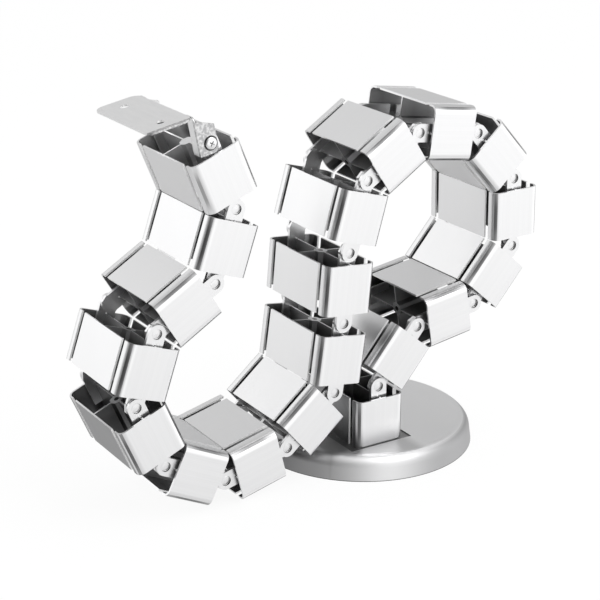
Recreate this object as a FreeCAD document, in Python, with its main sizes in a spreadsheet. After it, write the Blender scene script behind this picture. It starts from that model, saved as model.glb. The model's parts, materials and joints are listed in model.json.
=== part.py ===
import FreeCAD, Part
import math
import os
import re

# A cable spine: nineteen extruded links hinged end to end, standing in a round base and
# carrying a bent mounting plate. X lies in the plane that the chain bends in, Y runs along the
# hinge axes and Z is up. The origin is the middle of the base's underside.

doc = FreeCAD.newDocument("CableSpine")
sizes = doc.addObject("Spreadsheet::Sheet", "Sizes")

drivingSizes = [
    # The extruded link
    ("linkLength", 45.4),
    ("linkGap", 19.6),
    ("linkWidth", 103.0),
    ("linkDepth", 50.0),
    ("linkCorner", 7.0),
    ("wallThick", 1.8),
    ("webThick", 1.5),
    ("lipWidth", 10.5),
    ("slitWidth", 5.5),
    ("hubRadius", 6.0),
    ("boreRadius", 4.0),
    # The forked hinge plates and their pivot studs
    ("lugThick", 3.0),
    ("lugHalf", 8.25),
    ("lugReach", 30.0),
    ("lugInset", 5.0),
    ("lugGap", 0.3),
    ("forkPast", 0.75),
    ("studRadius", 4.6),
    ("studPlay", 0.05),
    # The round base and the screw that holds the first link
    ("baseRadius", 105.5),
    ("baseFlare", 3.0),
    ("baseHeight", 22.5),
    ("baseShoulder", 11.0),
    ("seatDepth", 1.0),
    ("seatSide", 8.0),
    ("seatFront", 1.6),
    ("chainOffsetX", -23.5),
    ("chainOffsetY", -17.0),
    ("screwPlay", 0.1),
    ("screwRise", 30.0),
    ("baseHeadRadius", 7.5),
    ("baseHeadHigh", 6.0),
    ("baseHeadSunk", 2.0),
    ("baseHeadPlay", 0.5),
    # The mounting plate, measured from the last hinge axis
    ("sheetThick", 1.6),
    ("plateFar", 53.0),
    ("plateNear", 9.3),
    ("plateRise", 25.4),
    ("plateOver", 1.6),
    ("plateCorner", 9.0),
    ("plateHoleRadius", 4.0),
    ("plateHoleBack", 32.4),
    ("plateHoleSide", 32.0),
    ("flangeWidth", 12.0),
    ("flangeShoulder", 5.0),
    ("bendRadius", 1.3),
    ("tabFront", 6.3),
    ("tabDrop", 9.0),
    ("tabTop", 20.5),
    ("tabSlope", 22.5),
    ("tabCorner", 4.5),
    ("tabGap", 0.3),
    ("shankRadius", 2.5),
    ("headRadius", 5.25),
    ("headHigh", 2.6),
    ("collarRadius", 6.0),
    ("collarThick", 1.5),
]

# How far each hinge is bent, in whole degrees: a positive bend turns the rest of the chain
# from +X towards +Z.
hingeBends = [-40, -41, 40, 42, 41, 40, 41, 41, 11, -3, -42, -26, -40, -41, -42, -40, 40, 41, -11]

rows = drivingSizes + [("bend%02d" % (k + 1), bend) for k, bend in enumerate(hingeBends)]
for row, (alias, number) in enumerate(rows, start=1):
    sizes.set("A%d" % row, alias)
    sizes.set("B%d" % row, str(number))
    sizes.setAlias("B%d" % row, alias)
doc.recompute()


def size(alias):
    return float(sizes.get(alias))


def bind(piece, name, formula):
    piece.setExpression(name, re.sub(r"[a-z]\w+", lambda word: "Sizes." + word.group(0), formula))


# A box between two corners, each given as three formulas of the sheet.
def box(name, low, high):
    piece = doc.addObject("Part::Box", name)
    for side, start, end in zip(("Length", "Width", "Height"), low, high):
        bind(piece, side, "(%s) - (%s)" % (end, start))
    for axis, start in zip("xyz", low):
        bind(piece, "Placement.Base." + axis, start)
    return piece


def upright(name, radius, low, high, x="0", y="0"):
    piece = doc.addObject("Part::Cylinder", name)
    bind(piece, "Radius", radius)
    bind(piece, "Height", "(%s) - (%s)" % (high, low))
    bind(piece, "Placement.Base.x", x)
    bind(piece, "Placement.Base.y", y)
    bind(piece, "Placement.Base.z", low)
    return piece


# A cylinder along Y, from one Y to another.
def crosswise(name, radius, low, high, z="0"):
    piece = doc.addObject("Part::Cylinder", name)
    piece.Placement = FreeCAD.Placement(FreeCAD.Vector(), FreeCAD.Rotation(FreeCAD.Vector(1, 0, 0), -90))
    bind(piece, "Radius", radius)
    bind(piece, "Height", "(%s) - (%s)" % (high, low))
    bind(piece, "Placement.Base.y", low)
    bind(piece, "Placement.Base.z", z)
    return piece


# An eight-sided bar; its radius is to the flats, two of which face along X.
def eightSided(name, radius, turn, height):
    piece = doc.addObject("Part::Prism", name)
    piece.Polygon = 8
    piece.Placement = FreeCAD.Placement(FreeCAD.Vector(), turn * FreeCAD.Rotation(0, 0, 1, 22.5))
    bind(piece, "Circumradius", "(%s) / %.9f" % (radius, math.cos(math.radians(22.5))))
    bind(piece, "Height", height)
    return piece


def fuse(name, pieces):
    joined = doc.addObject("Part::MultiFuse", name)
    joined.Shapes = pieces
    joined.Refine = True
    return joined


def cut(name, base, tool):
    rest = doc.addObject("Part::Cut", name)
    rest.Base = base
    rest.Tool = tool
    rest.Refine = True
    return rest


# Fillets the straight edges whose middle and direction the test accepts.
def rounded(name, base, radius, wanted):
    doc.recompute()
    chosen = []
    for number, edge in enumerate(base.Shape.Edges, start=1):
        middle = edge.CenterOfMass
        if isinstance(edge.Curve, Part.Line) and wanted(middle, edge.Curve.Direction):
            chosen.append((number, radius, radius))
    fillet = doc.addObject("Part::Fillet", name)
    fillet.Base = base
    fillet.Edges = chosen
    return fillet


def grouped(name, pieces):
    group = doc.addObject("Part::Compound", name)
    group.Links = pieces
    return group


def node(name, pieces, placement):
    piece = grouped(name, pieces)
    piece.Label = name
    piece.Placement = placement
    return piece


def near(one, other):
    return abs(one - other) < 0.01


# The link is an extrusion: two wide panels on a cross of webs round a thick core, and a
# channel along each narrow side. The slits beside the panels are where cables are pressed in.
def linkMaster():
    blank = box("linkBlank", ("-linkDepth / 2", "-linkWidth / 2", "-linkLength / 2"),
                ("linkDepth / 2", "linkWidth / 2", "linkLength / 2"))
    skin = rounded("linkSkin", blank, size("linkCorner"), lambda middle, way: near(abs(way.z), 1))
    hollow = box("linkHollow", ("wallThick - linkDepth / 2", "wallThick - linkWidth / 2", "-linkLength / 2"),
                 ("linkDepth / 2 - wallThick", "linkWidth / 2 - wallThick", "linkLength / 2"))
    room = rounded("linkRoom", hollow, size("linkCorner") - size("wallThick"),
                   lambda middle, way: near(abs(way.z), 1))
    slits = [
        box("slitLeft", ("-linkDepth / 2", "lipWidth - linkWidth / 2", "-linkLength / 2"),
            ("linkDepth / 2", "lipWidth + slitWidth - linkWidth / 2", "linkLength / 2")),
        box("slitRight", ("-linkDepth / 2", "linkWidth / 2 - lipWidth - slitWidth", "-linkLength / 2"),
            ("linkDepth / 2", "linkWidth / 2 - lipWidth", "linkLength / 2")),
    ]
    walls = cut("linkWalls", skin, fuse("linkHollows", [room] + slits))
    sideWeb = box("sideWeb", ("-webThick / 2", "wallThick / 2 - linkWidth / 2", "-linkLength / 2"),
                  ("webThick / 2", "linkWidth / 2 - wallThick / 2", "linkLength / 2"))
    panelWeb = box("panelWeb", ("wallThick / 2 - linkDepth / 2", "-webThick / 2", "-linkLength / 2"),
                   ("linkDepth / 2 - wallThick / 2", "webThick / 2", "linkLength / 2"))
    hub = eightSided("hub", "hubRadius", FreeCAD.Rotation(), "linkLength")
    bind(hub, "Placement.Base.z", "-linkLength / 2")
    return fuse("linkMaster", [walls, sideWeb, panelWeb, hub])


# The first link's core is drilled from below for the base screw.
def footLink(link):
    bore = upright("footBore", "boreRadius", "-linkLength / 2", "screwRise - linkLength / 2")
    return cut("footLink", link, bore)


linkPitch = "(linkLength + linkGap)"
outerLugFace = "(linkWidth / 2 - lugInset)"
innerLugFace = "(linkWidth / 2 - lugInset - lugThick - lugGap)"


# A hinge plate is a tongue with its end about the pivot: round where it shows, eight-sided on
# the inner plate that carries the stud. Its fork straddles the side web.
def lug(name, face, end, side, holed):
    far, close = "%s * (%s)" % (side, face), "%s * (%s - lugThick)" % (side, face)
    low, high = (close, far) if side == "1" else (far, close)
    pivot = "%s * %s / 2" % (end, linkPitch)
    root = "%s * (%s / 2 - lugReach)" % (end, linkPitch)
    mouth = "%s * (linkLength / 2 + forkPast)" % end
    bottom, top = (root, pivot) if end == "1" else (pivot, root)
    forkLow, forkHigh = (root, mouth) if end == "1" else (mouth, root)
    tongue = box(name + "Tongue", ("-lugHalf", low, bottom), ("lugHalf", high, top))
    if holed:
        eye = crosswise(name + "Eye", "lugHalf", low, high, pivot)
    else:
        eye = eightSided(name + "Eye", "lugHalf", FreeCAD.Rotation(FreeCAD.Vector(1, 0, 0), -90), "lugThick")
        bind(eye, "Placement.Base.y", low)
        bind(eye, "Placement.Base.z", pivot)
    blank = fuse(name + "Blank", [tongue, eye])
    fork = box(name + "Fork", ("-webThick / 2", low, forkLow), ("webThick / 2", high, forkHigh))
    forked = cut(name + "Forked", blank, fork)
    if not holed:
        return forked
    hole = crosswise(name + "Hole", "studRadius + studPlay", low, high, pivot)
    return cut(name, forked, hole)


def studs():
    return [
        crosswise("studLeft", "studRadius", "-" + outerLugFace, "-" + innerLugFace),
        crosswise("studRight", "studRadius", innerLugFace, outerLugFace),
    ]


# The base is a turned disc with a flared skirt, a soft shoulder and a shallow seat for the
# first link, which one screw holds from below.
def baseDisc():
    blank = doc.addObject("Part::Cone", "baseBlank")
    bind(blank, "Radius1", "baseRadius")
    bind(blank, "Radius2", "baseRadius - baseFlare")
    bind(blank, "Height", "baseHeight")
    doc.recompute()
    rim = [n for n, edge in enumerate(blank.Shape.Edges, start=1)
           if isinstance(edge.Curve, Part.Circle) and edge.CenterOfMass.z > size("baseHeight") / 2]
    soft = doc.addObject("Part::Fillet", "baseSoft")
    soft.Base = blank
    soft.Edges = [(n, size("baseShoulder"), size("baseShoulder")) for n in rim]
    seat = box("baseSeat",
               ("chainOffsetX - linkDepth / 2 - seatSide", "chainOffsetY - linkWidth / 2 - seatFront",
                "baseHeight - seatDepth"),
               ("chainOffsetX + linkDepth / 2 + seatSide", "chainOffsetY + linkWidth / 2 + seatFront",
                "baseHeight + seatDepth"))
    hole = upright("baseHole", "boreRadius", "-baseHeight", "2 * baseHeight", "chainOffsetX", "chainOffsetY")
    sink = upright("baseSink", "baseHeadRadius + baseHeadPlay", "-baseHeight",
                   "baseHeadSunk + baseHeadHigh", "chainOffsetX", "chainOffsetY")
    return cut("baseMaster", soft, fuse("baseCuts", [seat, hole, sink]))


def baseScrew():
    head = upright("baseHead", "baseHeadRadius", "baseHeadSunk", "baseHeadSunk + baseHeadHigh",
                   "chainOffsetX", "chainOffsetY")
    shank = upright("baseShank", "boreRadius - screwPlay", "baseHeadSunk",
                    "baseHeight - seatDepth + screwRise - screwPlay",
                    "chainOffsetX", "chainOffsetY")
    return fuse("baseScrewMaster", [head, shank])


tabInner = "(linkWidth / 2 - lugInset + tabGap)"
plateHalf = "(linkWidth / 2 - lugInset + tabGap + sheetThick + plateOver)"


# The mounting plate is one bent sheet: a flat top, a narrow flange down at each side of its
# near edge, and from each flange a side tab that turns on the last hinge.
def mountPlate():
    top = box("plateTop", ("-plateFar", "-" + plateHalf, "plateRise - sheetThick"),
              ("-plateNear - sheetThick", plateHalf, "plateRise"))
    corners = rounded("plateTopSoft", top, size("plateCorner"), lambda middle, way: near(abs(way.z), 1))
    pieces = [corners]
    for name, side in (("Left", "-1"), ("Right", "1")):
        inner = "%s * (%s + sheetThick - flangeWidth)" % (side, tabInner)
        outer = "%s * (%s + sheetThick)" % (side, tabInner)
        low, high = (inner, outer) if side == "1" else (outer, inner)
        flange = box("flange" + name, ("-plateNear - sheetThick", low, "-tabDrop"),
                     ("-plateNear", high, "plateRise"))
        flangeSoft = rounded("flangeSoft" + name, flange, size("flangeShoulder"),
                             lambda middle, way: near(abs(way.x), 1) and near(middle.z, size("plateRise"))
                             and float(side) * middle.y > size("linkWidth") / 2 - size("flangeWidth"))
        bend = rounded("bend" + name, flangeSoft, size("bendRadius"),
                       lambda middle, way: near(abs(way.y), 1) and near(middle.x, -size("plateNear"))
                       and near(middle.z, size("plateRise")))
        skin, back = "%s * (%s + sheetThick)" % (side, tabInner), "%s * %s" % (side, tabInner)
        low, high = (back, skin) if side == "1" else (skin, back)
        tab = box("tab" + name, ("-plateNear - sheetThick", low, "-tabDrop"), ("tabFront", high, "tabTop"))
        tabSoft = rounded("tabSoft" + name, tab, size("tabCorner"),
                          lambda middle, way: near(abs(way.y), 1) and near(middle.x, size("tabFront"))
                          and middle.z < 0)
        slope = box("slope" + name, ("0", low, "0"), ("3 * tabFront", high, "tabTop"))
        slope.Placement.Rotation = FreeCAD.Rotation(FreeCAD.Vector(0, 1, 0), size("tabSlope"))
        bind(slope, "Placement.Base.x", "-plateNear + sheetThick")
        bind(slope, "Placement.Base.z", "tabTop")
        sloped = cut("tabSloped" + name, tabSoft, slope)
        shank = crosswise("tabHole" + name, "shankRadius", low, high)
        pieces += [bend, cut("tabDrilled" + name, sloped, shank)]
    sheet = fuse("plateSheet", pieces)
    holes = []
    for name, side in (("Left", "-"), ("Right", "")):
        holes.append(upright("plateHole" + name, "plateHoleRadius", "0", "2 * plateRise",
                             "-plateHoleBack", side + "plateHoleSide"))
    return cut("plateMaster", sheet, fuse("plateHoles", holes))


# A shoulder screw at each side: head outside the tab, shoulder in the last link's plate and a
# collar behind it.
def plateScrew(name, side):
    faces = [tabInner + " + sheetThick + headHigh", tabInner + " + sheetThick", tabInner,
             outerLugFace + " - lugThick - lugGap", outerLugFace + " - lugThick - lugGap - collarThick"]
    radii = ["headRadius", "shankRadius", "studRadius", "collarRadius"]
    steps = []
    for number, radius in enumerate(radii):
        outer, inner = "%s * (%s)" % (side, faces[number]), "%s * (%s)" % (side, faces[number + 1])
        low, high = (inner, outer) if side == "1" else (outer, inner)
        steps.append(crosswise("%sStep%d" % (name, number), radius, low, high))
    return fuse(name, steps)


link = linkMaster()
foot = footLink(link)
outgoing = [lug("outLeft", outerLugFace, "1", "-1", True), lug("outRight", outerLugFace, "1", "1", True)]
incoming = [lug("inLeft", innerLugFace, "-1", "-1", False), lug("inRight", innerLugFace, "-1", "1", False)]
pivotStuds = studs()
still = FreeCAD.Placement()
nodes = [node("base_disc", [baseDisc()], still), node("base_screw", [baseScrew()], still)]

# The chain is laid link by link: each hinge axis stands one pitch on from the last, along the
# link's heading.
axisX = size("chainOffsetX")
axisY = size("chainOffsetY")
firstMiddle = size("baseHeight") - size("seatDepth") + size("linkLength") / 2
pitch = size("linkLength") + size("linkGap")
axisZ = firstMiddle - pitch / 2
heading = 90.0
for number in range(1, len(hingeBends) + 1):
    stepX = pitch * math.cos(math.radians(heading))
    stepZ = pitch * math.sin(math.radians(heading))
    turn = FreeCAD.Rotation(FreeCAD.Vector(0, -1, 0), heading - 90.0)
    middle = FreeCAD.Placement(FreeCAD.Vector(axisX + stepX / 2, axisY, axisZ + stepZ / 2), turn)
    if number > 1:
        hinge = FreeCAD.Placement(FreeCAD.Vector(axisX, axisY, axisZ), turn)
        nodes.append(node("rivets_%02d" % (number - 1), pivotStuds, hinge))
    plates = outgoing if number == 1 else outgoing + incoming
    nodes.append(node("link_%02d" % number, [foot if number == 1 else link], middle))
    nodes.append(node("hinge_plates_%02d" % number, plates, middle))
    axisX += stepX
    axisZ += stepZ
    heading += size("bend%02d" % number)

turn = FreeCAD.Rotation(FreeCAD.Vector(0, -1, 0), heading - 90.0)
lastHinge = FreeCAD.Placement(FreeCAD.Vector(axisX, axisY, axisZ), turn)
screws = [plateScrew("screwLeft", "-1"), plateScrew("screwRight", "1")]
nodes.append(node("mount_plate", [mountPlate()], lastHinge))
nodes.append(node("plate_screws", screws, lastHinge))
doc.recompute()

for piece in doc.Objects:
    if "Invalid" in piece.State or "Error" in piece.State:
        raise SystemExit("%s was not made: %s" % (piece.Name, piece.State))
for piece in nodes:
    if piece.Shape.isNull() or not piece.Shape.isValid() or not piece.Shape.Solids:
        raise SystemExit("%s is not a valid solid" % piece.Label)

os.makedirs("parts", exist_ok=True)
for piece in nodes:
    piece.Shape.exportStep("parts/%s.step" % piece.Label)
    print("%-18s solids %d volume %.1f" % (piece.Label, len(piece.Shape.Solids), piece.Shape.Volume))
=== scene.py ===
import json
import math

import bmesh
import bpy
from mathutils import Matrix, Vector


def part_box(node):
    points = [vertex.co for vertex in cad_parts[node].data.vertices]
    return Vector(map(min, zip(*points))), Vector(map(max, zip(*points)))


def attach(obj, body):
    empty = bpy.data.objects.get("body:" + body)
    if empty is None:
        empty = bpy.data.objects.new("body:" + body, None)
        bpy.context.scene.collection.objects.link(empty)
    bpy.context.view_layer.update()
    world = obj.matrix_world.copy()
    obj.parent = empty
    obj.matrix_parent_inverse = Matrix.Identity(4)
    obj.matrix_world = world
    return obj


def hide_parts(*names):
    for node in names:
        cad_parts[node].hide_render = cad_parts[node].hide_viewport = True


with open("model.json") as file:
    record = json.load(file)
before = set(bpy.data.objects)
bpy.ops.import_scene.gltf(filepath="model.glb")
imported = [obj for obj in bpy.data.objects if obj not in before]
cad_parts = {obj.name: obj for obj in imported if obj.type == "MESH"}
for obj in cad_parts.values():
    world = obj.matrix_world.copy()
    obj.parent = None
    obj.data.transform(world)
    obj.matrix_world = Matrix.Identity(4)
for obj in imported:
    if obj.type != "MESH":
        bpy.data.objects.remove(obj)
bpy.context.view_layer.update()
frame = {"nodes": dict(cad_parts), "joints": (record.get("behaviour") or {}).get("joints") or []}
nodes = frame["nodes"]
joints = frame["joints"]
hinges = [Vector(joint["pos_m"]) for joint in joints]
linkCount = len(hinges)
chainY = hinges[0].y
pitch = (hinges[1] - hinges[0]).length
starts = [hinges[0] - Vector((0, 0, pitch))] + hinges[:-1]
headings = [math.atan2(end.z - start.z, end.x - start.x) for start, end in zip(starts, hinges)]
middles = [(start + end) / 2 for start, end in zip(starts, hinges)]
sliver = 0.00005  # keeps a mark that ends at a face off that face
print("frame: %d nodes, %d hinges" % (len(nodes), linkCount))


# One node: its settings first, then its inputs, each of them a value or another node's output
def addNode(tree, kind, settings, inputs, output=0):
    node = tree.nodes.new(kind)
    for name, value in settings.items():
        setattr(node, name, value)
    for name, value in inputs.items():
        if isinstance(value, Field):
            tree.links.new(value.socket, node.inputs[name])
        else:
            node.inputs[name].default_value = value
    return Field(tree, node.outputs[output])


# A socket that takes arithmetic
class Field:
    def __init__(self, tree, socket):
        self.tree = tree
        self.socket = socket

    def math(self, operation, first, second=None):
        inputs = {0: first} if second is None else {0: first, 1: second}
        return addNode(self.tree, "ShaderNodeMath", {"operation": operation}, inputs)

    def __add__(self, other):
        return self.math("ADD", self, other)

    def __radd__(self, other):
        return self.math("ADD", other, self)

    def __sub__(self, other):
        return self.math("SUBTRACT", self, other)

    def __rsub__(self, other):
        return self.math("SUBTRACT", other, self)

    def __mul__(self, other):
        return self.math("MULTIPLY", self, other)

    def __rmul__(self, other):
        return self.math("MULTIPLY", other, self)

    def size(self):
        return self.math("ABSOLUTE", self)

    def root(self):
        return self.math("SQRT", self)

    def below(self, limit):
        return self.math("LESS_THAN", self, limit)

    def above(self, limit):
        return self.math("GREATER_THAN", self, limit)

    def larger(self, other):
        return self.math("MAXIMUM", self, other)

    def smooth(self, low, high):
        inputs = {"Value": self, "From Min": low, "From Max": high}
        return addNode(self.tree, "ShaderNodeMapRange", {"interpolation_type": "SMOOTHSTEP"}, inputs)

    def feed(self, socket):
        self.tree.links.new(self.socket, socket)


def newMaterial(name):
    material = bpy.data.materials.new(name)
    material.use_nodes = True
    return material, material.node_tree, material.node_tree.nodes["Principled BSDF"]


# Object coordinates about a point, turned back about Y so that Z runs along the link
def placeAt(tree, middle=(0, 0, 0), turn=0.0):
    spot = addNode(tree, "ShaderNodeTexCoord", {}, {}, "Object")
    shifted = addNode(tree, "ShaderNodeVectorMath", {"operation": "SUBTRACT"}, {0: spot, 1: tuple(middle)})
    inputs = {"Vector": shifted, "Angle": turn}
    return addNode(tree, "ShaderNodeVectorRotate", {"rotation_type": "Y_AXIS"}, inputs)


# The three parts of a vector
def parts(tree, vector):
    node = addNode(tree, "ShaderNodeSeparateXYZ", {}, {0: vector}).socket.node
    return [Field(tree, output) for output in node.outputs]


def noise(tree, vector, scale, detail=2.0, stretch=(1, 1, 1)):
    scaled = addNode(tree, "ShaderNodeVectorMath", {"operation": "MULTIPLY"}, {0: vector, 1: stretch})
    inputs = {"Vector": scaled, "Scale": scale, "Detail": detail}
    return addNode(tree, "ShaderNodeTexNoise", {}, inputs, "Fac")


def blend(tree, amount, low, high):
    low, high = [colour if isinstance(colour, Field) else (*colour, 1) for colour in (low, high)]
    inputs = {"Factor": amount, "A": low, "B": high}
    return addNode(tree, "ShaderNodeMix", {"data_type": "RGBA"}, inputs, "Result")


def bump(tree, height, shader, distance, strength):
    inputs = {"Height": height, "Distance": distance, "Strength": strength}
    addNode(tree, "ShaderNodeBump", {}, inputs, "Normal").feed(shader.inputs["Normal"])


# Links: satin anodised extrusion with fine draw lines along it, painted shade inside, matt at the slits' cut
# edges.
# Links 1 and 15 have painted shade on one wide side, and mouths are links with their own painted light or
# shade inside.
link = {"bright": (0.89, 0.89, 0.895), "worn": (0.79, 0.79, 0.795), "insideShade": (0.5, 0.5, 0.505),
        "edge": (0.9, 0.9, 0.9), "foot": (0.42, 0.42, 0.425), "bore": (0.06, 0.06, 0.06),
        "shaded": {1: (0.3, 0.3, 0.305), 15: (0.34, 0.34, 0.345)},
        "mouthShading": {3: (0.38, 0.38, 0.385), 15: (0.36, 0.36, 0.365), 19: (0.95, 0.95, 0.955)},
        "roughness": 0.26, "lineRough": 0.1, "cloudRough": 0.05, "innerRough": 0.05, "cutRough": 0.2,
        "cutMatt": 0.7, "lineScale": (900, 900, 9), "cloudScale": 30.0, "panelLines": 0.3,
        "narrowLines": 0.35, "bump": (0.00002, 0.35), "halfLength": 0.0227, "halfDepth": 0.025,
        "halfWidth": 0.0515, "wall": 0.0018, "innerFrom": 0.6, "cutFrom": 1.05, "skin": 0.0002,
        "blunt": 0.0008, "slitMiddle": 0.03825, "slitHalf": 0.00275, "boreRadius": 0.0023,
        "deepPart": 0.5, "deepEnd": 0.007, "footReach": 0.023}


def linkMaterial(number):
    material, tree, shader = newMaterial("linkAluminium%02d" % (number + 1))
    place = placeAt(tree, middles[number], headings[number] - math.pi / 2)
    across, sideways, along = parts(tree, place)
    lines = noise(tree, place, 1.0, 3.0, link["lineScale"])
    cloud = noise(tree, place, link["cloudScale"])
    inner = across.size().below(link["halfDepth"] - link["wall"] * link["innerFrom"])
    inner = inner * sideways.size().below(link["halfWidth"] - link["wall"] * link["innerFrom"])
    inner = inner * along.size().below(link["halfLength"] - sliver)
    cut = ((sideways.size() - link["slitMiddle"]).size() - link["slitHalf"]).size().below(link["skin"])
    cut = cut * (1.0 - across.size().below(link["halfDepth"] - link["wall"] * link["cutFrom"]))
    onNarrow = sideways.size().smooth(link["halfWidth"] - link["blunt"], link["halfWidth"] - link["skin"])
    streaks = (lines - 0.5) * (link["panelLines"] + onNarrow * link["narrowLines"])
    skin = blend(tree, 0.5 + streaks, link["worn"], link["bright"])
    # Painted shade inside the link, deeper towards its middle; a mouth's own painted light or shade takes its
    # place
    mouthShade = link["mouthShading"].get(number + 1, link["insideShade"])
    deep = tuple(value * link["deepPart"] for value in mouthShade)
    roomShade = blend(tree, along.size().smooth(link["deepEnd"], link["halfLength"]), deep, mouthShade)
    # Painted shade on the first link, darkening its skin towards the lower end at the base
    if number == 0:
        foot = 1.0 - along.smooth(-link["halfLength"], link["footReach"] - link["halfLength"])
        skin = blend(tree, foot, skin, link["foot"])
    colour = blend(tree, inner, skin, roomShade)
    # A dark disc painted on each core's end as the shade of a bore; the core is solid
    if number + 1 < len(middles):
        bore = (across * across + sideways * sideways).root().below(link["boreRadius"])
        colour = blend(tree, bore, colour, link["bore"])
    # Painted shade on one wide side of links 1 and 15
    if number + 1 in link["shaded"]:
        inShade = (across * -1).above(link["halfDepth"] - link["skin"])
        colour = blend(tree, inShade, colour, link["shaded"][number + 1])
    colour = blend(tree, cut, colour, link["edge"])
    colour.feed(shader.inputs["Base Color"])
    rough = link["roughness"] + lines * link["lineRough"] + cloud * link["cloudRough"]
    rough = rough + inner * link["innerRough"] + cut * link["cutRough"]
    rough.feed(shader.inputs["Roughness"])
    (1.0 - cut * link["cutMatt"]).feed(shader.inputs["Metallic"])
    bump(tree, lines, shader, *link["bump"])
    return material


# Hinge plates, rivets and screws: bright plated steel with faint rolling marks, with a darker copy as painted
# shade in grooves.
# Each kind has the scale of its marks and its roughness.
steel = {"bright": (0.87, 0.87, 0.875), "dull": (0.8, 0.8, 0.805), "grooveShadeBright": (0.12, 0.12, 0.12),
         "grooveShadeDull": (0.07, 0.07, 0.07), "plate": (60.0, 0.24), "groove": (160.0, 0.4),
         "rivet": (160.0, 0.2), "screw": (200.0, 0.14), "fineness": 9, "markRough": 0.12,
         "fineRough": 0.05, "bump": (0.00002, 0.3)}


def steelMaterial(name, grain, roughness, dull="dull", bright="bright"):
    material, tree, shader = newMaterial(name)
    place = placeAt(tree)
    marks = noise(tree, place, grain, 4.0)
    fine = noise(tree, place, grain * steel["fineness"])
    blend(tree, marks, steel[dull], steel[bright]).feed(shader.inputs["Base Color"])
    rough = roughness + marks * steel["markRough"] + fine * steel["fineRough"]
    rough.feed(shader.inputs["Roughness"])
    shader.inputs["Metallic"].default_value = 1.0
    bump(tree, fine, shader, *steel["bump"])
    return material


# Base: silver powder coat with a fine metallic grain. Painted shade darkens the side both ways along one
# direction, and painted shade lies in the seat, along the foot, round the first link and in front of it.
base = {"light": (0.87, 0.87, 0.875), "dark": (0.8, 0.8, 0.805), "side": (0.86, 0.86, 0.865),
        "rightSideShade": (0.4, 0.4, 0.405), "leftSideShade": (0.23, 0.23, 0.235), "shadeColour": (0.2, 0.2, 0.2),
        "seatShadeColour": (0.3, 0.3, 0.3), "roughness": 0.36, "grainRough": 0.06, "cloudRough": 0.05,
        "sideRough": 0.06, "grainScale": 2600.0, "cloudScale": 14.0, "bump": (0.00002, 0.3), "top": 0.0225,
        "seat": 0.0215, "seatHalf": (0.0338, 0.0536), "sideLow": 0.0195, "foot": 0.0007, "skin": 0.0001,
        "wayX": 0.82, "wayY": -0.57, "endFrom": 0.01, "endTo": 0.08, "shade": 0.55, "shadeWidth": 0.009,
        "shadeMiddle": 0.012, "shadeHalf": (0.037, 0.045), "frontShade": 0.35, "frontFrom": 0.02,
        "frontTo": 0.034, "frontDeep": 0.0005}


def baseMaterial():
    material, tree, shader = newMaterial("baseSilver")
    place = placeAt(tree)
    grain = noise(tree, place, base["grainScale"])
    cloud = noise(tree, place, base["cloudScale"])
    across, sideways, height = parts(tree, place)
    fromLink = across - starts[0].x
    colour = blend(tree, grain, base["dark"], base["light"])
    side = 1.0 - height.smooth(base["sideLow"], base["top"] - base["skin"])
    side = side * height.below(base["seat"] - base["skin"])
    # Painted shade darkening the side towards both ends of one fixed direction
    way = across * base["wayX"] + sideways * base["wayY"]
    aroundShade = blend(tree, way.smooth(base["endFrom"], base["endTo"]), base["side"], base["rightSideShade"])
    aroundShade = blend(tree, (way * -1).smooth(base["endFrom"], base["endTo"]), aroundShade, base["leftSideShade"])
    colour = blend(tree, side, colour, aroundShade)
    # A painted shadow line along the base's foot
    colour = blend(tree, height.below(base["foot"]), colour, base["shadeColour"])
    # Painted shade in the seat pocket round the first link
    seat = height.below(base["top"] - sliver) * (1.0 - height.below(base["seat"] - base["skin"]))
    seat = seat * fromLink.size().below(base["seatHalf"][0])
    seat = seat * (sideways - chainY).size().below(base["seatHalf"][1])
    colour = blend(tree, seat, colour, base["seatShadeColour"])
    # Painted shade on the top round the first link, reaching further on its left
    pastDepth = (fromLink + base["shadeMiddle"]).size() - base["shadeHalf"][0]
    pastWidth = (sideways - chainY).size() - base["shadeHalf"][1]
    near = (1.0 - pastDepth.larger(pastWidth).smooth(0.0, base["shadeWidth"])) * base["shade"]
    colour = blend(tree, near, colour, base["shadeColour"])
    # Painted shade on the top in front of the first link
    front = 1.0 - fromLink.size().smooth(base["frontFrom"], base["frontTo"])
    front = front * sideways.below(chainY - link["halfWidth"]) * base["frontShade"]
    front = front * (1.0 - height.below(base["top"] - base["frontDeep"]))
    blend(tree, front, colour, base["shadeColour"]).feed(shader.inputs["Base Color"])
    rough = base["roughness"] + grain * base["grainRough"] + cloud * base["cloudRough"]
    rough = rough + side * base["sideRough"]
    rough.feed(shader.inputs["Roughness"])
    shader.inputs["Metallic"].default_value = 1.0
    bump(tree, grain, shader, *base["bump"])
    return material


# Mounting plate: zinc sheet, even on top, mottled on the front tab with a painted shadow ring round the screw
sheet = {"light": (0.93, 0.93, 0.93), "dull": (0.84, 0.84, 0.845), "tabLight": (0.7, 0.7, 0.7),
         "tabDull": (0.42, 0.42, 0.425), "tabSide": 0.0455, "ring": 0.0063, "ringShadeColour": (0.06, 0.06, 0.06),
         "grainScale": 1500.0, "streakScale": (300, 60, 300), "mottleScale": 420.0, "mottleFrom": 0.38,
         "mottleTo": 0.66, "roughness": 0.36, "grainRough": 0.06, "tabRough": -0.08, "grainBump": 0.1,
         "bump": (0.0001, 0.4)}


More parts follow.
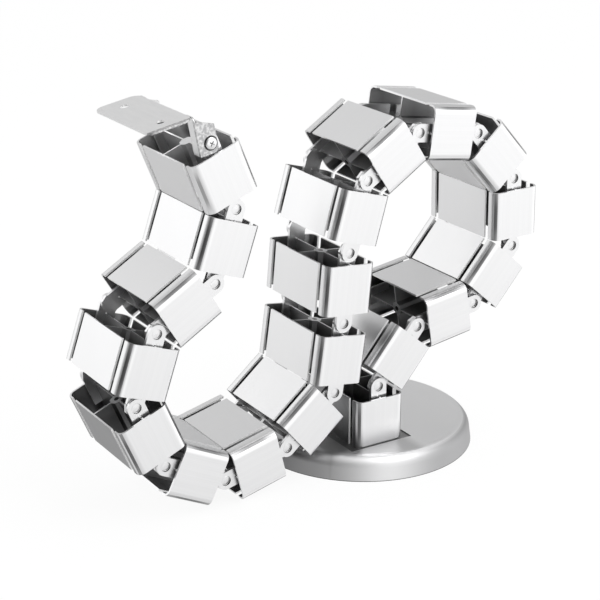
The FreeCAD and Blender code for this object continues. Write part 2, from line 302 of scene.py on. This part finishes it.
def sheetMaterial():
    material, tree, shader = newMaterial("mountSheet")
    place = placeAt(tree, hinges[-1])
    across, sideways, height = parts(tree, place)
    grain = noise(tree, place, sheet["grainScale"])
    streak = noise(tree, place, 1.0, 3.0, sheet["streakScale"])
    mottle = noise(tree, place, sheet["mottleScale"], 3.0)
    tab = sideways.below(-sheet["tabSide"])
    plain = blend(tree, streak, sheet["dull"], sheet["light"])
    patches = mottle.smooth(sheet["mottleFrom"], sheet["mottleTo"])
    patched = blend(tree, patches, sheet["tabDull"], sheet["tabLight"])
    # A painted shadow ring round the screw head on the tab
    ring = (across * across + height * height).root().below(sheet["ring"])
    patched = blend(tree, ring, patched, sheet["ringShadeColour"])
    blend(tree, tab, plain, patched).feed(shader.inputs["Base Color"])
    rough = sheet["roughness"] + grain * sheet["grainRough"] + tab * sheet["tabRough"]
    rough.feed(shader.inputs["Roughness"])
    shader.inputs["Metallic"].default_value = 1.0
    bump(tree, grain * sheet["grainBump"] + mottle * tab, shader, *sheet["bump"])
    return material


def paint(piece, material):
    piece.data.materials.clear()
    piece.data.materials.append(material)


plateSteel = steelMaterial("plateSteel", *steel["plate"])
# A darker copy of the steel, for painted shade in grooves and recesses
grooveShadeSteel = steelMaterial("grooveShadeSteel", *steel["groove"], "grooveShadeDull", "grooveShadeBright")
rivetSteel = steelMaterial("rivetSteel", *steel["rivet"])
screwSteel = steelMaterial("screwSteel", *steel["screw"])
for number in range(linkCount):
    paint(nodes["link_%02d" % (number + 1)], linkMaterial(number))
    paint(nodes["hinge_plates_%02d" % (number + 1)], plateSteel)
    if number:
        paint(nodes["rivets_%02d" % number], rivetSteel)
paint(nodes["base_disc"], baseMaterial())
paint(nodes["base_screw"], screwSteel)
paint(nodes["mount_plate"], sheetMaterial())
paint(nodes["plate_screws"], screwSteel)
print("materials: every node painted")


def meshOf(name, form):
    mesh = bpy.data.meshes.new(name)
    form.to_mesh(mesh)
    form.free()
    return mesh


def meshObject(name, mesh):
    piece = bpy.data.objects.new(name, mesh)
    bpy.context.scene.collection.objects.link(piece)
    return piece


# Turned forms are made for the front and turned over for the back
def facing(side):
    return Matrix.Rotation(math.pi, 4, "X") if side > 0 else Matrix.Identity(4)


# A closed turned form about Y from pairs of radius and height, with the height measured along -Y
def turned(profile, steps):
    form = bmesh.new()
    rings = []
    for radius, height in profile:
        if radius == 0:
            rings.append([form.verts.new((0, -height, 0))])
            continue
        ring = []
        for step in range(steps):
            angle = 2 * math.pi * step / steps
            spot = (radius * math.cos(angle), -height, radius * math.sin(angle))
            ring.append(form.verts.new(spot))
        rings.append(ring)
    for low, high in zip(rings, rings[1:]):
        for step in range(steps):
            following = (step + 1) % steps
            corners = [low[step % len(low)], low[following % len(low)]]
            corners += [high[following % len(high)], high[step % len(high)]]
            form.faces.new(list(dict.fromkeys(corners)))
    bmesh.ops.recalc_face_normals(form, faces=form.faces)
    return form


# Pivot studs: each end is turned out to a shallow cup inside the hinge plate's hole
stud = {"radius": 0.0046, "chamfer": 0.0001, "rim": 0.0044, "deep": 0.0017, "corner": 0.0004, "wall": 0.0041,
        "rimSkin": 0.00012, "wallPart": 0.9, "dome": 0.0001, "length": 0.0033, "arc": 4, "steps": 48}


def studProfile(length):
    profile = [(0, 0), (stud["radius"], 0), (stud["radius"], length - stud["chamfer"]),
               (stud["radius"] - stud["chamfer"], length), (stud["rim"], length)]
    for step in range(stud["arc"] + 1):
        angle = math.pi / 2 * step / stud["arc"]
        profile.append((stud["rim"] - stud["corner"] * (1 - math.cos(angle)),
                        length - stud["deep"] + stud["corner"] * (1 - math.sin(angle))))
    profile.append((0, length - stud["deep"] + stud["dome"]))
    return profile


def pivotStud(name, place, side, length, body, replaced):
    mesh = meshOf(name, turned(studProfile(length), stud["steps"]))
    piece = meshObject(name, mesh)
    paint(piece, rivetSteel)
    mesh.materials.append(grooveShadeSteel)
    # The cup's wall takes the darker groove steel as painted shade
    for face in mesh.polygons:
        reach = math.hypot(face.center.x, face.center.z)
        inCup = sliver < face.center.y + length < stud["deep"] * stud["wallPart"]
        face.material_index = int(inCup and stud["wall"] < reach < stud["radius"] - stud["rimSkin"])
    mesh.transform(Matrix.Translation(place) @ facing(side))
    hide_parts(replaced)
    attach(piece, body)


for number in range(linkCount - 1):
    replaced = "rivets_%02d" % (number + 1)
    low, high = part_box(replaced)
    for side, word, y in ((-1, "Front", low[1] + stud["length"]), (1, "Back", high[1] - stud["length"])):
        place = Vector((hinges[number].x, y, hinges[number].z))
        name = "pivotStud%02d%s" % (number + 1, word)
        pivotStud(name, place, side, stud["length"], joints[number]["child"], replaced)
print("studs: cupped ends on both sides of %d hinges" % (linkCount - 1))


# Plate screws: pan heads with a cross recess
screw = {"radius": 0.00525, "rise": 0.0026, "edge": 0.0008, "crown": 0.75, "crownPower": 2.6, "shank": 0.0025,
         "shoulder": 0.0046, "collar": 0.006, "collarThick": 0.0015, "sheet": 0.0016, "stack": 0.0036,
         "slot": 0.0011, "reach": 0.0031, "deep": 0.0015, "footReach": 0.45, "footSlot": 0.6, "over": 0.001,
         "turn": 0.5, "crossDeep": 0.0003, "crossFoot": 0.0005, "headSide": 0.97, "arc": 9, "steps": 64}


def screwBody():
    foot = -(screw["sheet"] + screw["stack"] + screw["collarThick"])
    profile = [(0, foot), (screw["collar"], foot), (screw["collar"], foot + screw["collarThick"]),
               (screw["shoulder"], foot + screw["collarThick"]), (screw["shoulder"], -screw["sheet"]),
               (screw["shank"], -screw["sheet"]), (screw["shank"], 0), (screw["radius"], 0)]
    profile.append((screw["radius"], screw["edge"]))
    for step in range(1, screw["arc"] + 1):
        angle = math.pi / 2 * step / screw["arc"]
        radius = screw["radius"] * math.cos(angle) ** screw["crown"] if step < screw["arc"] else 0
        profile.append((radius, screw["edge"] + (screw["rise"] - screw["edge"]) * math.sin(angle)))
    return turned(profile, screw["steps"])


def crossTool():
    form = bmesh.new()
    for turn in (0, math.pi / 2):
        block = bmesh.ops.create_cube(form, size=1.0)["verts"]
        for corner in block:
            deep = corner.co.y > 0
            reach = screw["reach"] * (screw["footReach"] if deep else 1.0)
            width = screw["slot"] * (screw["footSlot"] if deep else 1.0)
            height = (screw["deep"] if deep else -screw["over"]) - screw["rise"]
            spot = Vector((2 * corner.co.x * reach, height, corner.co.z * width))
            corner.co = Matrix.Rotation(turn + screw["turn"], 3, "Y") @ spot
    return meshObject("crossTool", meshOf("crossTool", form))


def plateScrews():
    one = meshObject("plateScrewBlank", meshOf("plateScrewMesh", screwBody()))
    tool = crossTool()
    carve = one.modifiers.new("recess", "BOOLEAN")
    carve.operation = "DIFFERENCE"
    carve.use_self = True
    carve.object = tool
    bpy.context.view_layer.update()
    shown = one.evaluated_get(bpy.context.evaluated_depsgraph_get())
    finished = bpy.data.meshes.new_from_object(shown)
    bpy.data.objects.remove(one)
    bpy.data.objects.remove(tool)
    finished.materials.clear()
    finished.materials.append(screwSteel)
    finished.materials.append(grooveShadeSteel)
    # The cross recess and the underside of the head's edge take the darker groove steel as painted shade
    for face in finished.polygons:
        reach = math.hypot(face.center.x, face.center.z)
        height = -face.center.y
        bulge = math.sqrt(max(0.0, 1 - (reach / screw["radius"]) ** screw["crownPower"]))
        dome = screw["edge"] + (screw["rise"] - screw["edge"]) * bulge
        inCross = reach < screw["reach"] and screw["crossFoot"] < height < dome - screw["crossDeep"]
        underHead = reach > screw["radius"] * screw["headSide"] and 0 < height < screw["edge"]
        face.material_index = int(inCross or underHead)
    low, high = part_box("plate_screws")
    for side, word, y in ((-1, "Front", low[1] + screw["rise"]), (1, "Back", high[1] - screw["rise"])):
        own = finished.copy()
        place = Vector((hinges[-1].x, y, hinges[-1].z))
        own.transform(Matrix.Translation(place) @ facing(side))
        piece = meshObject("plateScrew" + word, own)
        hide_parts("plate_screws")
        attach(piece, "plate_body")


plateScrews()
print("screws: two pan heads with cross recesses")


# Floor: white, with only a faint shadow
ground = {"reach": 6.0, "colour": (0.95, 0.95, 0.95, 1), "roughness": 0.9, "shadow": 0.09}


def makeFloor():
    mesh = bpy.data.meshes.new("floor")
    reach = ground["reach"]
    corners = [(-reach, -reach, 0), (reach, -reach, 0), (reach, reach, 0), (-reach, reach, 0)]
    mesh.from_pydata(corners, [], [(0, 1, 2, 3)])
    piece = meshObject("floor", mesh)
    material, tree, shader = newMaterial("floorWhite")
    shader.inputs["Base Color"].default_value = ground["colour"]
    shader.inputs["Roughness"].default_value = ground["roughness"]
    shader.inputs["Specular IOR Level"].default_value = 0.0
    glow = addNode(tree, "ShaderNodeEmission", {}, {})
    inputs = {"Fac": ground["shadow"], 1: glow, 2: Field(tree, shader.outputs[0])}
    surface = addNode(tree, "ShaderNodeMixShader", {}, inputs)
    surface.feed(tree.nodes["Material Output"].inputs["Surface"])
    paint(piece, material)
    piece.visible_glossy = False


# World: white to see, but metal reflects patches of light in it, and it grows brighter to the left. Each
# patch has the way to its middle, where its edge fades and its light. The patch above parts the front one
# from the low one, and the dark one takes light away.
world = {"plain": 0.5, "slope": 0.3}
patches = {"left": {"way": (-0.55, 0.78, 0.25), "fade": (0.8, 1.0), "light": 0.52},
           "centre": {"way": (0.1, -0.95, 0.1), "fade": (0.74, 0.86), "light": 0.13},
           "right": {"way": (0.85, 0.05, -0.45), "fade": (0.62, 0.95), "light": 0.35},
           "above": {"way": (0, 0, 1), "fade": (-0.46, -0.22)},
           "front": {"way": (0.35, -0.93, 0.1), "fade": (-0.05, 0.65), "light": 0.68},
           "low": {"way": (0, -1, 0), "fade": (-0.7, 0.1), "light": 0.27},
           "dark": {"way": (-0.87, -0.45, 0.22), "fade": (0.45, 1.0), "light": 0.78}}


def makeWorld():
    scene = bpy.context.scene
    scene.world = bpy.data.worlds.new("studio")
    scene.world.use_nodes = True
    tree = scene.world.node_tree
    background = tree.nodes["Background"]
    spot = addNode(tree, "ShaderNodeTexCoord", {}, {}, "Generated")

    def towards(name):
        inputs = {0: spot, 1: Vector(patches[name]["way"]).normalized()}
        return addNode(tree, "ShaderNodeVectorMath", {"operation": "DOT_PRODUCT"}, inputs, "Value")

    def patch(name):
        return towards(name).smooth(*patches[name]["fade"])

    light = world["plain"] + towards("left").larger(0.0) * world["slope"]
    for name in ("left", "centre", "right"):
        light = light + patch(name) * patches[name]["light"]
    above = patch("above")
    light = light + patch("front") * above * patches["front"]["light"]
    light = light + patch("low") * (1.0 - above) * patches["low"]["light"]
    light = light * (1.0 - patch("dark") * patches["dark"]["light"])
    glossy = addNode(tree, "ShaderNodeLightPath", {}, {}, "Is Glossy Ray")
    strength = glossy * light + (1.0 - glossy)
    strength.feed(background.inputs["Strength"])
    background.inputs["Color"].default_value = (1, 1, 1, 1)


# Light: one soft disc from the front
lamp = {"place": (0.6, -1.2, 1.8), "target": (-0.05, 0, 0.15), "width": 1.6, "power": 14}


def makeLight():
    data = bpy.data.lights.new("keyLight", "AREA")
    data.shape = "DISK"
    data.size = lamp["width"]
    data.energy = lamp["power"]
    piece = bpy.data.objects.new("keyLight", data)
    bpy.context.scene.collection.objects.link(piece)
    piece.location = lamp["place"]
    way = Vector(lamp["target"]) - Vector(lamp["place"])
    piece.rotation_euler = way.to_track_quat("-Z", "Y").to_euler()


# Camera, with its focal length in pixels of the frame
view = {"place": (-0.82342, -1.20699, 0.66786), "azimuth": -32.03, "elevation": 20.0, "focal": 1663.0,
        "frame": 600, "sensor": 36, "far": 20}


def makeCamera():
    turn, tilt = math.radians(view["azimuth"]), math.radians(view["elevation"])
    back = Vector((math.sin(turn) * math.cos(tilt), -math.cos(turn) * math.cos(tilt), math.sin(tilt)))
    right = Vector((math.cos(turn), math.sin(turn), 0))
    up = back.cross(right)
    data = bpy.data.cameras.new("camera")
    data.sensor_width = view["sensor"]
    data.lens = view["focal"] / view["frame"] * view["sensor"]
    data.clip_end = view["far"]
    piece = bpy.data.objects.new("camera", data)
    bpy.context.scene.collection.objects.link(piece)
    piece.matrix_world = Matrix.Translation(view["place"]) @ Matrix((right, up, back)).transposed().to_4x4()
    bpy.context.scene.camera = piece


makeFloor()
makeWorld()
makeLight()
makeCamera()
bpy.context.scene.view_settings.view_transform = "Standard"
print("studio: floor, world, light and camera")
